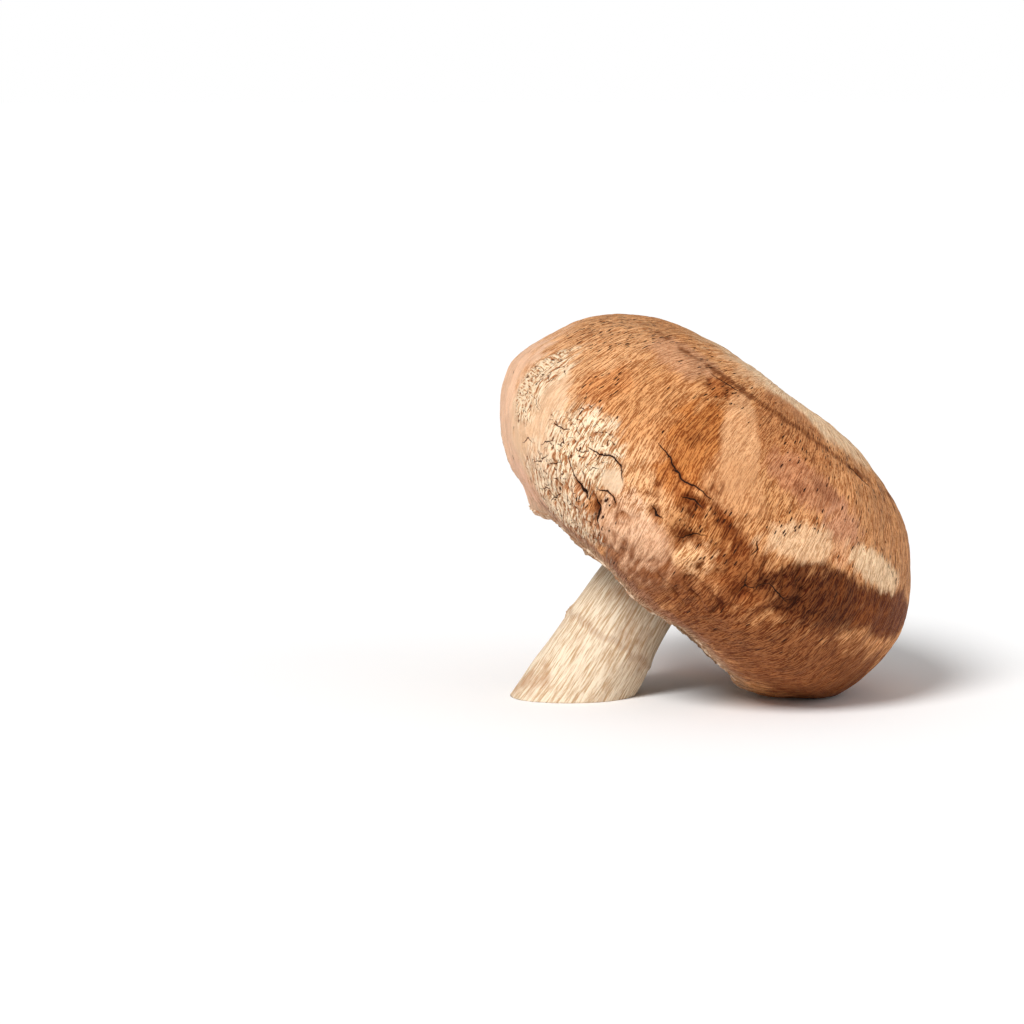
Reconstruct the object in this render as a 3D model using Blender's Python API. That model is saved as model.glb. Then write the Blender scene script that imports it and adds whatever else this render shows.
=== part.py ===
"""Portobello mushroom as picked, lying gill side down on its cut stem and on one side of its cap.

Cap, gills and stem grew as one piece, so they are one closed body. The cap's outline is turned round
the stem's axis, pushed out of round as a grown thing is, leant over until the cap's side meets the
surface, and cut off flat where it rests. Metres, +Z up, origin under the middle at the surface.
"""

import math

import bmesh
import bpy
from mathutils import Matrix

CAP_RADIUS = 0.0625  # at the widest, which is height 0 of the outline
CROWN = 0.0345  # height of the top above the widest place
MARGIN = 0.0314  # how far the inrolled margin hangs below the widest place
MARGIN_RADIUS = 0.0375  # to the lowest line of the margin
GILL_HEIGHT = 0.0200  # how far the gills' edges lie below the widest place
STEM_RADIUS = 0.0122
STEM_LENGTH = 0.0750  # below the widest place, before the surface cuts it

TILT = math.radians(36.3)  # the crown leans towards +X
LEAN = math.radians(4.5)  # and a little towards +Y
REST_FLAT = 0.0016  # how far the soft cap is pressed flat where it rests

STEPS_AROUND = 64
STEPS_BETWEEN = 2  # rings between two points of the outline
MERGE = 1e-7

SKIN = ("cap_skin", (0.52, 0.25, 0.10), 0.62)
GILLS = ("gills", (0.075, 0.035, 0.025), 0.85)
STEM = ("stem", (0.60, 0.47, 0.34), 0.80)


def outline():
    """(radius, height, material) from the top of the cap, round the margin and gills, to the stem's end."""
    cap = [
        (0.00, 1.00),
        (0.17, 1.00),
        (0.36, 1.00),
        (0.54, 0.93),
        (0.69, 0.81),
        (0.83, 0.61),
        (0.94, 0.31),
        (1.00, 0.00),
    ]
    flank = [
        (0.985, -0.31),
        (0.920, -0.60),
        (0.82, -0.79),
        (0.72, -0.92),
    ]
    skin = [(CAP_RADIUS * r, CROWN * h) for r, h in cap]
    skin += [(CAP_RADIUS * r, MARGIN * h) for r, h in flank]
    skin += [
        (MARGIN_RADIUS, -MARGIN),
        (MARGIN_RADIUS - 0.0032, -MARGIN),
        (MARGIN_RADIUS - 0.0048, -MARGIN + 0.0030),
        (MARGIN_RADIUS - 0.0044, -MARGIN + 0.0062),
    ]
    gills = [
        (MARGIN_RADIUS - 0.0070, -GILL_HEIGHT - 0.0025),
        (0.68 * MARGIN_RADIUS, -GILL_HEIGHT),
        (0.50 * MARGIN_RADIUS, -GILL_HEIGHT + 0.0020),
        (STEM_RADIUS + 0.0036, -GILL_HEIGHT + 0.0050),
        (STEM_RADIUS + 0.0012, -GILL_HEIGHT + 0.0048),
    ]
    stem = [
        (STEM_RADIUS, -GILL_HEIGHT),
        (STEM_RADIUS - 0.0002, -MARGIN),
        (STEM_RADIUS + 0.0012, -0.65 * STEM_LENGTH),
        (STEM_RADIUS + 0.0022, -STEM_LENGTH),
        (0.0, -STEM_LENGTH),
    ]
    return (
        [(r, h, 0) for r, h in skin]
        + [(r, h, 1) for r, h in gills]
        + [(r, h, 2) for r, h in stem]
    )


def curve_through(points, steps):
    """Points on a smooth curve through the outline. The first end mirrors across the axis, so the top is round."""
    first, last = points[0], points[-1]
    before = (-points[1][0], points[1][1])
    ends = [before] + [p[:2] for p in points] + [last[:2]]
    rings = [(first[0], first[1], first[2])]
    for i in range(1, len(points)):
        a, b, c, d = ends[i - 1 : i + 3]
        straight = i == len(points) - 1
        for k in range(1, steps + 1):
            t = k / steps
            ring = [
                (2 * t**3 - 3 * t**2 + 1) * b[n]
                + (t**3 - 2 * t**2 + t) * (c[n] - a[n]) / 2
                + (3 * t**2 - 2 * t**3) * c[n]
                + (t**3 - t**2) * (d[n] - b[n]) / 2
                for n in range(2)
            ]
            if straight:
                ring = [b[n] + (c[n] - b[n]) * t for n in range(2)]
            rings.append((max(ring[0], 0.0), ring[1], points[i][2]))
    return rings


def blend(low, high, value):
    """0 below low, 1 above high, and smooth between."""
    t = min(max((value - low) / (high - low), 0.0), 1.0)
    return t * t * (3 - 2 * t)


def grown(point):
    """Where a point of the turned shape really grew: lobes, a dimpled crown, a deeper right side, a bent stem."""
    x, y, z = point
    radius = math.hypot(x, y)
    angle = math.atan2(y, x)
    outer = blend(0.012, 0.035, radius)
    lobes = (
        0.010 * math.cos(2 * angle - 0.6)
        + 0.008 * math.cos(3 * angle + 1.0)
        + 0.005 * math.cos(5 * angle + 0.4)
    )
    x *= 1 + outer * lobes
    y *= 1 + outer * lobes
    dimple = math.exp(-(((x - 0.006) / 0.030) ** 2) - ((y - 0.007) / 0.015) ** 2)
    z -= 0.0022 * dimple * blend(0.010, 0.025, z)
    z -= 0.075 * x * outer * blend(-0.004, 0.024, -z)
    rim = math.exp(-(((radius - MARGIN_RADIUS) / 0.007) ** 2)) * blend(0.020, 0.030, -z)
    z += rim * (0.0009 * math.sin(5 * angle + 0.5) + 0.0005 * math.sin(9 * angle))
    x -= 0.022 * z
    bend = blend(0.020, 0.070, -z) * (1 - outer)
    return x + 0.0020 * bend, y - 0.0010 * bend, z


def turned_body():
    """The outline turned a full turn, as a bmesh that is closed at the crown and at the stem's end."""
    rings = curve_through(outline(), STEPS_BETWEEN)
    bm = bmesh.new()
    part = bm.verts.layers.int.new("part")
    verts = []
    for radius, height, index in rings:
        verts.append(bm.verts.new((radius, 0.0, height)))
        verts[-1][part] = index
    edges = [bm.edges.new(pair) for pair in zip(verts, verts[1:])]
    bmesh.ops.spin(
        bm,
        geom=verts + edges,
        axis=(0, 0, 1),
        angle=2 * math.pi,
        steps=STEPS_AROUND,
        use_merge=True,
    )
    bmesh.ops.remove_doubles(bm, verts=bm.verts, dist=MERGE)
    for face in bm.faces:
        face.material_index = max(v[part] for v in face.verts)
    return bm


def rest_on_surface(bm):
    """Leans the mushroom over, lowers it until its cap is pressed REST_FLAT into z = 0, and cuts it there."""
    turn = Matrix.Rotation(TILT, 3, "Y") @ Matrix.Rotation(-LEAN, 3, "X")
    cap = [v for v in bm.verts if math.hypot(v.co.x, v.co.y) > 0.5 * CAP_RADIUS]
    bmesh.ops.rotate(bm, verts=bm.verts, cent=(0, 0, 0), matrix=turn)
    lowest = min(v.co.z for v in cap)
    bmesh.ops.translate(bm, verts=bm.verts, vec=(0, 0, -lowest - REST_FLAT))
    bmesh.ops.bisect_plane(
        bm,
        geom=bm.verts[:] + bm.edges[:] + bm.faces[:],
        plane_co=(0, 0, 0),
        plane_no=(0, 0, -1),
        clear_outer=True,
    )
    rims = [e for e in bm.edges if e.is_boundary]
    bmesh.ops.holes_fill(bm, edges=rims, sides=0)


def centre_over_origin(bm):
    for axis in range(2):
        values = [v.co[axis] for v in bm.verts]
        shift = [0.0, 0.0, 0.0]
        shift[axis] = -(min(values) + max(values)) / 2
        bmesh.ops.translate(bm, verts=bm.verts, vec=shift)


def material(name, colour, roughness):
    made = bpy.data.materials.new(name)
    made.use_nodes = True
    shader = made.node_tree.nodes["Principled BSDF"]
    shader.inputs["Base Color"].default_value = (*colour, 1.0)
    shader.inputs["Roughness"].default_value = roughness
    shader.inputs["Metallic"].default_value = 0.0
    return made


def mushroom():
    bm = turned_body()
    for vert in bm.verts:
        vert.co = grown(vert.co)
    rest_on_surface(bm)
    centre_over_origin(bm)
    bmesh.ops.recalc_face_normals(bm, faces=bm.faces)
    mesh = bpy.data.meshes.new("mushroom")
    bm.to_mesh(mesh)
    bm.free()
    mesh.shade_smooth()
    mesh.set_sharp_from_angle(angle=math.radians(50))
    for name, colour, roughness in (SKIN, GILLS, STEM):
        mesh.materials.append(material(name, colour, roughness))
    body = bpy.data.objects.new("mushroom", mesh)
    bpy.context.scene.collection.objects.link(body)
    return body


for left_over in list(bpy.data.objects):
    bpy.data.objects.remove(left_over)
mushroom()
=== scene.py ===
"""Portobello mushroom: its finished looks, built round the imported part.

The skin, gills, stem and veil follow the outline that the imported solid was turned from, repeated below,
and stand for that solid. A place on the cap is a bearing, in degrees round the cap's axis with 0 towards
-Y and 90 towards +X, and a distance down the skin from the crown, in millimetres. The skin's tables and
fields are in millimetres too, and MM turns them into metres; everything else is in metres, +Z up.
"""

import itertools
import math

import bmesh
import bpy
import numpy as np
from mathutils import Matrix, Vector


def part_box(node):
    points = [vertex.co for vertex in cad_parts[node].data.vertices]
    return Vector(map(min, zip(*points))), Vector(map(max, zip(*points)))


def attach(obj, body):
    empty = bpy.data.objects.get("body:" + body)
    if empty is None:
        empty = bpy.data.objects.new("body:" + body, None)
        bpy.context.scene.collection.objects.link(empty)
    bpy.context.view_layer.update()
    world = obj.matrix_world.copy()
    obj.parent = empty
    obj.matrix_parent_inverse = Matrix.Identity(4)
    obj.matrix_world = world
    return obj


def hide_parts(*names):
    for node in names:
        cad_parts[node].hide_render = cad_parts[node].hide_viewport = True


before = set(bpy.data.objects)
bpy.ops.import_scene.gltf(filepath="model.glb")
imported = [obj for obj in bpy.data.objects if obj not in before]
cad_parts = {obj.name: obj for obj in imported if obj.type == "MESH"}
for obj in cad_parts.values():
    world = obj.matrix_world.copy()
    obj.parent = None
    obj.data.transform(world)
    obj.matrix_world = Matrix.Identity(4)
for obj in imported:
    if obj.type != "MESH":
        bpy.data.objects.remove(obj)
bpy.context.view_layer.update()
MM = 0.001

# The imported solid's own outline.
CAP_RADIUS = 0.0625  # at the widest, which is height 0 of the outline
CROWN = 0.0345  # height of the top above the widest place
MARGIN = 0.0314  # how far the margin hangs below the widest place
MARGIN_RADIUS = 0.0375
GILL_HEIGHT = 0.0200  # how far the gills' edges lie below the widest place
STEM_RADIUS = 0.0122
STEM_LENGTH = 0.0750
TILT = math.radians(36.3)
LEAN = math.radians(4.5)


# ---- shape


def cap_outline():
    """(radius, height) from the crown over the widest place and round the inrolled margin."""
    cap = [(0.0, 1.0), (0.17, 1.0), (0.36, 1.0), (0.54, 0.93)]
    cap += [(0.69, 0.81), (0.83, 0.61), (0.94, 0.31), (1.0, 0.0)]
    flank = [(0.985, -0.31), (0.920, -0.60), (0.82, -0.79), (0.72, -0.92)]
    points = [(CAP_RADIUS * r, CROWN * h) for r, h in cap]
    points += [(CAP_RADIUS * r, MARGIN * h) for r, h in flank]
    points += [
        (MARGIN_RADIUS, -MARGIN),
        (MARGIN_RADIUS - 0.0032, -MARGIN),
        (MARGIN_RADIUS - 0.0048, -MARGIN + 0.0030),
        (MARGIN_RADIUS - 0.0044, -MARGIN + 0.0062),
    ]
    return points


def curve_through(points, steps=40, mirrored=True):
    """Points on a smooth curve through an outline. A mirrored one starts on the axis, where it is round."""
    p = np.array(points, float)
    before = (-p[1, 0], p[1, 1]) if mirrored else p[0]
    ends = np.vstack([before, p, p[-1]])
    t = np.arange(1, steps + 1)[:, None] / steps
    rings = [p[:1]]
    for i in range(1, len(p)):
        a, b, c, d = ends[i - 1 : i + 3]
        rings.append(
            (2 * t**3 - 3 * t**2 + 1) * b
            + (t**3 - 2 * t**2 + t) * (c - a) / 2
            + (3 * t**2 - 2 * t**3) * c
            + (t**3 - t**2) * (d - b) / 2
        )
    return np.vstack(rings)


def blend(low, high, value):
    """0 below low, 1 above high, and smooth between."""
    t = np.clip((value - low) / (high - low), 0.0, 1.0)
    return t * t * (3 - 2 * t)


def grown(x, y, z):
    """Where points of the turned shape really grew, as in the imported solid."""
    radius = np.hypot(x, y)
    angle = np.arctan2(y, x)
    outer = blend(0.012, 0.035, radius)
    lobes = (
        0.010 * np.cos(2 * angle - 0.6)
        + 0.008 * np.cos(3 * angle + 1.0)
        + 0.005 * np.cos(5 * angle + 0.4)
    )
    x = x * (1 + outer * lobes)
    y = y * (1 + outer * lobes)
    dimple = np.exp(-(((x - 0.006) / 0.030) ** 2) - ((y - 0.007) / 0.015) ** 2)
    z = z - 0.0022 * dimple * blend(0.010, 0.025, z)
    z = z - 0.075 * x * outer * blend(-0.004, 0.024, -z)
    rim = np.exp(-(((radius - MARGIN_RADIUS) / 0.007) ** 2)) * blend(0.020, 0.030, -z)
    z = z + rim * (0.0009 * np.sin(5 * angle + 0.5) + 0.0005 * np.sin(9 * angle))
    x = x - 0.022 * z
    bend = blend(0.020, 0.070, -z) * (1 - outer)
    return np.stack([x + 0.0020 * bend, y - 0.0010 * bend, z], -1)


def lean_over():
    """The turn that leans the mushroom as it lies: the crown towards +X and a little towards +Y."""
    c, s = math.cos(TILT), math.sin(TILT)
    about_y = np.array([[c, 0, s], [0, 1, 0], [-s, 0, c]])
    c, s = math.cos(LEAN), math.sin(LEAN)
    about_x = np.array([[1, 0, 0], [0, c, s], [0, -s, c]])
    return about_y @ about_x


LEANT = lean_over()


def round_axis(radius, angle, height):
    return np.column_stack([radius * np.cos(angle), radius * np.sin(angle), height + 0 * angle])


def from_axis(points):
    """Where points of the upright cap's own frame lie once it has grown and leans."""
    return grown(*points.T) @ LEANT.T + OFFSET


class Turned:
    """An outline turned round the axis, grown and leant over: points by angle and distance along it."""

    def __init__(self, points, mirrored=True):
        self.profile = curve_through(points, mirrored=mirrored)
        runs = np.hypot(*np.diff(self.profile, axis=0).T)
        self.along = np.concatenate([[0.0], np.cumsum(runs)])
        self.length = self.along[-1]

    def radius(self, s):
        return np.interp(s, self.along, self.profile[:, 0])

    def points(self, angle, s):
        height = np.interp(s, self.along, self.profile[:, 1])
        return from_axis(round_axis(self.radius(s), angle, height))

    def normals(self, angle, s):
        """Outward directions, from small steps round the axis and along the outline."""
        step = 0.3 * MM
        s = np.maximum(s, step)
        turn = step / np.maximum(self.radius(s), 1.0 * MM)
        down = np.minimum(s + step, self.length)
        up = np.maximum(s - step, 0.1 * step)
        round_it = self.points(angle + turn, s) - self.points(angle - turn, s)
        along_it = self.points(angle, down) - self.points(angle, up)
        normal = np.cross(along_it, round_it)
        return normal / np.linalg.norm(normal, axis=1)[:, None]


def offset_into(box):
    """How far the leant cap moves so that it is centred in the box and its top meets the box's top."""
    angle, s = np.meshgrid(np.linspace(0, 2 * np.pi, 361), np.linspace(0, CAP.length, 200))
    p = CAP.points(angle.ravel(), s.ravel())
    middle = (p.min(0) + p.max(0)) / 2
    return np.array([-middle[0], -middle[1], box[1][2] - p[:, 2].max()])


OFFSET = np.zeros(3)  # until the cap has been measured
CAP = Turned(cap_outline())
OFFSET = offset_into(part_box("mushroom"))


def settled(points, softness=0.6 * MM):
    """Soft flesh flattens on the surface at z = 0 instead of going through it."""
    z = points[:, 2]
    points[:, 2] = 0.5 * (z + np.sqrt(z * z + softness * softness))
    return points


# ---- noise


def noise(points, seed):
    """Smooth noise, about -1 to 1, at an (n, 3) array of points. It changes over about one unit."""
    ways = np.random.default_rng(seed).normal(size=(4096, 3))
    ways /= np.linalg.norm(ways, axis=1)[:, None]
    cell = np.floor(points).astype(np.int64)
    part = points - cell
    ease = part**3 * (part * (part * 6 - 15) + 10)
    total = np.zeros(len(points))
    for corner in itertools.product((0, 1), repeat=3):
        lattice = cell + corner
        code = lattice[:, 0] * 7919 + lattice[:, 1] * 104729 + lattice[:, 2] * 1299709
        code = (code ^ (code >> 7)) * 2654435761
        way = ways[(code >> 11) & 4095]
        share = np.prod(np.where(corner, ease, 1 - ease), axis=1)
        total += share * (way * (part - corner)).sum(1)
    return 1.7 * total


def rough_noise(points, seed, octaves=3):
    """Noise with finer noise on it."""
    total = noise(points, seed)
    for k in range(1, octaves):
        total = total + noise(points * 2.1**k, seed + k) * 0.5**k
    return total / 1.4


# ---- materials and meshes


def srgb(red, green, blue):
    """A colour as seen on a screen, 0 to 255, as Blender's linear colour."""
    shares = np.array([red, green, blue]) / 255
    return np.where(shares <= 0.04045, shares / 12.92, ((shares + 0.055) / 1.055) ** 2.4)


class Graph:
    """Short ways to add and join a material's nodes."""

    def __init__(self, name):
        self.material = bpy.data.materials.new(name)
        self.material.use_nodes = True
        self.nodes = self.material.node_tree.nodes
        self.links = self.material.node_tree.links
        self.shader = self.nodes["Principled BSDF"]

    def set(self, socket, value):
        """Joins another node's output, or sets a value. A colour without alpha is opaque."""
        if isinstance(value, bpy.types.NodeSocket):
            self.links.new(value, socket)
            return
        if socket.type == "RGBA" and len(value) == 3:
            value = (*value, 1.0)
        socket.default_value = value

    def node(self, kind, inputs, **settings):
        node = self.nodes.new("ShaderNode" + kind)
        for key, value in settings.items():
            setattr(node, key, value)
        for key, value in inputs.items():
            self.set(node.inputs[key], value)
        return node

    def add(self, kind, inputs, output=0, **settings):
        """Adds a node and returns one of its outputs."""
        return self.node(kind, inputs, **settings).outputs[output]

    def finish(self, **sockets):
        """Sets or joins the shader's sockets, by name with _ for a space."""
        for key, value in sockets.items():
            self.set(self.shader.inputs[key.replace("_", " ")], value)
        return self.material

    def attribute(self, name, output="Fac"):
        return self.add("Attribute", {}, output, attribute_name=name)

    def math(self, operation, a, b=0.0):
        return self.add("Math", {0: a, 1: b}, operation=operation)

    def times(self, first, *others):
        product = first
        for other in others:
            product = self.math("MULTIPLY", product, other)
        return product

    def stretch(self, vector, scale):
        return self.add("VectorMath", {0: vector, 1: scale}, operation="MULTIPLY")

    def noise(self, vector, scale=1.0, detail=2.0, roughness=0.55, output=0):
        inputs = {"Vector": vector, "Scale": scale, "Detail": detail, "Roughness": roughness}
        return self.add("TexNoise", inputs, output)

    def ramp(self, value, low, high, start=0.0, end=1.0):
        """Smoothly from start where value is low to end where it is high."""
        inputs = {0: value, 1: low, 2: high, 3: start, 4: end}
        return self.add("MapRange", inputs, interpolation_type="SMOOTHSTEP")

    def blend(self, factor, a, b):
        """Number a where factor is 0, b where it is 1."""
        return self.add("Mix", {0: factor, 2: a, 3: b})

    def mix(self, factor, a, b, blend_type="MIX"):
        """Colour a where factor is 0, b where it is 1."""
        inputs = {0: factor, 6: a, 7: b}
        return self.add("Mix", inputs, 2, data_type="RGBA", blend_type=blend_type)

    def tinted(self, colour, factors):
        return self.mix(1.0, colour, factors, "MULTIPLY")

    def bump(self, height, distance):
        return self.add("Bump", {"Height": height, "Distance": distance, "Strength": 1.0})


def add_object(name, data):
    made = bpy.data.objects.new(name, data)
    bpy.context.scene.collection.objects.link(made)
    return made


def add_piece(name, mesh):
    """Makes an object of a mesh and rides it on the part's body."""
    piece = add_object(name, mesh)
    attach(piece, "root")
    return piece


def mesh_of(name, points, faces, material):
    mesh = bpy.data.meshes.new(name)
    mesh.from_pydata(points.tolist(), [], faces)
    mesh.materials.append(material)
    mesh.shade_smooth()
    return mesh


def ring_faces(rings, columns, first=0, closed=False):
    """Outward quads between rings that run down a shape. closed joins the last ring to the first."""
    faces = []
    for i in range(rings if closed else rings - 1):
        a = first + i * columns
        b = first + (i + 1) % rings * columns
        for k in range(columns):
            beside = (k + 1) % columns
            faces.append((a + k, b + k, b + beside, a + beside))
    return faces


def full_turn(columns):
    """Angles of so many columns, evenly round the axis."""
    return 2 * np.pi * np.arange(columns) / columns


FIELD_KEYS = {"FLOAT": "value", "FLOAT_VECTOR": "vector", "FLOAT_COLOR": "color"}


def add_field(mesh, name, values, kind="FLOAT"):
    """Values at the mesh's points, for its material to read."""
    field = mesh.attributes.new(name, kind, "POINT")
    field.data.foreach_set(FIELD_KEYS[kind], np.ascontiguousarray(values, np.float32).ravel())


def whole_numbers(items, key):
    values = np.zeros(len(items), np.int32)
    items.foreach_get(key, values)
    return values


# ---- the cap's skin: its tables

COLUMNS = 576  # round the cap where it is wide, and half as many each time it narrows
ROW_STEP = 0.70 * MM
NARROWER = [0.031, 0.016, 0.008, 0.004]  # radii under which the columns halve
CROWN_REACH = 0.05  # distance down the skin within which they may halve
FRONT_HALF_WIDTH = 108.0  # degrees either side of the front where columns are closer
BACK_DENSITY = 0.42  # of the columns' density in front
SOFT_EDGE = 0.07  # of a patch's size when it isn't ragged
RAGGED_SOFTENING = 0.22  # and how much softer a ragged one is
RAGGED_REACH = 0.50  # how far its edge wanders
FIBRE_RADIUS = 60.0  # mm: fibres are drawn at their true width where the cap has this radius
BASE_COLOUR = (204, 142, 92)
PAINT_STRENGTH = 0.93
LIP_COLOUR = (214, 184, 152)  # of the inrolled lip

# bearing, mm down, mm across, mm along, slant in degrees, colour, how ragged, strength
PATCHES = {
    "crown": (0, 0, 34, 30, 0, (208, 154, 108), 0.8, 0.7),
    "crown cloud": (160, 17, 12, 12, 0, (214, 164, 118), 1.2, 0.8),
    # crown glow and crown strip: paler round the crown, painted light on the top of the cap where the light
    # falls on it
    "crown glow": (10, 28, 44, 15, 0, (228, 182, 136), 1.2, 0.55),
    "crown strip": (10, 30, 33, 9, 0, (248, 214, 176), 1.3, 0.8),
    "top": (-50, 45, 34, 14, 0, (206, 145, 96), 0.4, 0.6),
    "right side": (36, 58, 34, 18, 0, (214, 150, 100), 0.4, 0.8),
    "left side": (-66, 78, 26, 34, 0, (214, 158, 112), 0.4, 0.8),
    "back blush": (-118, 92, 24, 28, 0, (216, 162, 122), 1.3, 0.7),
    # pale edge: pale peach skin on the left side, partly painted light on the side that faces the light
    "pale edge": (-82, 98, 21, 30, 0, (236, 190, 156), 0.7, 0.95),
    "blush": (-74, 119, 28, 9, 0, (228, 178, 148), 0.8, 0.8),
    "pale shoulder": (-57, 92, 13, 18, 0, (236, 194, 156), 0.35, 0.9),
    "pale strokes": (-21, 91, 11, 14, 0, (224, 170, 124), 0.8, 0.75),
    "torn patch": (-62, 82, 7, 14, 6, (238, 204, 166), 0.6, 1),
    "cream patch": (-39, 91, 12, 13, 10, (238, 206, 170), 0.8, 1),
    "cream patch low": (-43, 108, 15, 11, 12, (240, 208, 174), 0.8, 1),
    "brown tufts": (-28, 104, 9, 6, 10, (196, 128, 76), 1.2, 0.75),
    # brown crevice: brown skin along the deep crevice, partly painted shade in it
    "brown crevice": (-28, 101.5, 2, 4, 10, (150, 84, 40), 1.5, 0.7),
    "pink low": (-13, 105, 14, 11, 0, (228, 178, 142), 0.6, 0.9),
    "pink shoulder": (-20, 97, 7, 7, 0, (232, 184, 148), 0.7, 0.8),
    "smooth spot": (-27, 92, 3.2, 3.4, 0, (230, 196, 162), 0.4, 1),
    "tuft": (-43.5, 72, 4.6, 8, 0, (196, 126, 74), 1.6, 0.85),
    "deep zone": (-15, 68, 9, 14, 0, (176, 104, 48), 1, 0.9),
    "deep zone low": (-14, 80, 6, 6, 0, (186, 112, 54), 1, 0.8),
    "dark knot": (-17, 69, 3, 2.6, 0, (150, 84, 36), 1.4, 0.6),
    "fold field": (-1, 87, 8, 8, 0, (184, 118, 66), 1.5, 0.8),
    # streaked hollow, hollow's shade and fold shade: painted shade in the hollow and in the fold below it,
    # over dark streaked skin in the hollow
    "streaked and shaded hollow": (1.5, 81.8, 8.5, 3, 22, (132, 66, 20), 1.5, 0.95),
    "hollow's shade": (-7, 83.5, 4.2, 2.8, 0, (150, 82, 34), 1.2, 0.85),
    "fold shade": (-4, 91.5, 4.4, 2.2, 0, (132, 70, 28), 1.4, 0.9),
    "tan band": (-7, 61, 5.6, 16, -26, (219, 162, 116), 0.35, 0.95),
    "tan field": (-1, 73, 9, 7, 0, (214, 154, 106), 0.7, 0.8),
    "beyond the tan band": (6.7, 49.6, 12, 17, -27, (186, 122, 76), 0.12, 0.9),
    "mauve top": (-38, 49, 11, 7, 0, (204, 148, 110), 0.6, 0.9),
    "mauve side": (15, 60, 14, 6, 0, (196, 132, 94), 0.6, 0.9),
    "blotch": (13.5, 62, 2.6, 1.8, 0, (150, 88, 56), 0.9, 0.6),
    "second blotch": (22, 58, 3.6, 2.2, 0, (142, 84, 56), 1.1, 0.6),
    "brown scar": (-22, 50.5, 4.2, 5, 0, (160, 90, 42), 1.2, 0.9),
    "ridge line": (2, 44.8, 38, 1.3, -2, (128, 72, 34), 1.6, 0.9),
    # dark foot, its middle and its far part: dark brown fibres along the bottom, darkened further with
    # painted shadow along the bottom
    "dark foot": (14, 90.5, 12, 7, -10, (138, 72, 28), 1.1, 0.9),
    "dark foot middle": (34, 83, 20, 8, -15, (88, 37, 4), 0.8, 1),
    "dark foot far": (60, 76, 20, 6.5, -10, (114, 53, 8), 0.8, 1),
    # pale lump: pale skin on the lump, partly a painted highlight on its top
    "pale lump": (0, 95.5, 5, 5.5, 0, (234, 180, 132), 0.9, 0.95),
    "lower brown": (6, 103, 12, 6, -10, (168, 108, 68), 1, 0.8),
    # underside: browner skin where the cap curves under at the bottom right, darkened with painted shade
    # there
    "underside": (46, 102, 58, 14, -10, (130, 70, 32), 0.8, 0.9),
    "mauve gap": (31, 64.5, 7, 6, 0, (206, 146, 112), 0.9, 0.85),
    "cream band": (20, 74.5, 11.5, 4.4, -28, (238, 191, 148), 0.8, 1),
    "band gap": (33, 70, 4, 3.6, 0, (226, 164, 120), 0.8, 0.8),
    "far cream band": (48, 68, 13.5, 4.2, -4, (252, 212, 170), 0.8, 1),
    "margin brown": (-2, 121, 44, 5, 0, (150, 100, 74), 0.8, 0.9),
    "back cream": (146, 88, 19, 8, 18, (232, 188, 146), 1.5, 0.9),
    "back tan": (175, 62, 20, 12, 20, (216, 160, 112), 0.6, 0.9),
    "back brown": (112, 78, 14, 16, 0, (174, 104, 54), 0.7, 0.9),
    "back mauve": (-150, 74, 18, 12, 0, (196, 136, 96), 0.6, 0.9),
    "back torn": (-120, 94, 13, 9, -20, (236, 196, 154), 1.5, 0.95),
    "back torn low": (-106, 106, 15, 8, 12, (234, 192, 152), 1.4, 0.9),
    "back foot": (150, 108, 50, 8, 0, (144, 86, 48), 0.6, 0.9),
    "back low cream": (-168, 102, 18, 6, -14, (224, 176, 134), 1.6, 0.85),
}

# how strongly the fibres' two tones show on a patch, where that isn't fully
SMOOTH = {"smooth spot": 0.15, "pale edge": 0.2, "pale shoulder": 0.3, "crown strip": 0.45, "blush": 0.55}
SMOOTH |= {"pink low": 0.55, "cream band": 0.6, "far cream band": 0.6, "tan band": 0.6, "tan field": 0.7}
SMOOTH |= {"mauve top": 0.65, "mauve side": 0.65, "mauve gap": 0.7}

# patches where the top layer has torn into cream flakes, except on the smooth spot
FLAKED = ["torn patch", "cream patch", "cream patch low"]
FLAKED += ["back cream", "back torn", "back torn low", "back low cream"]

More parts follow.
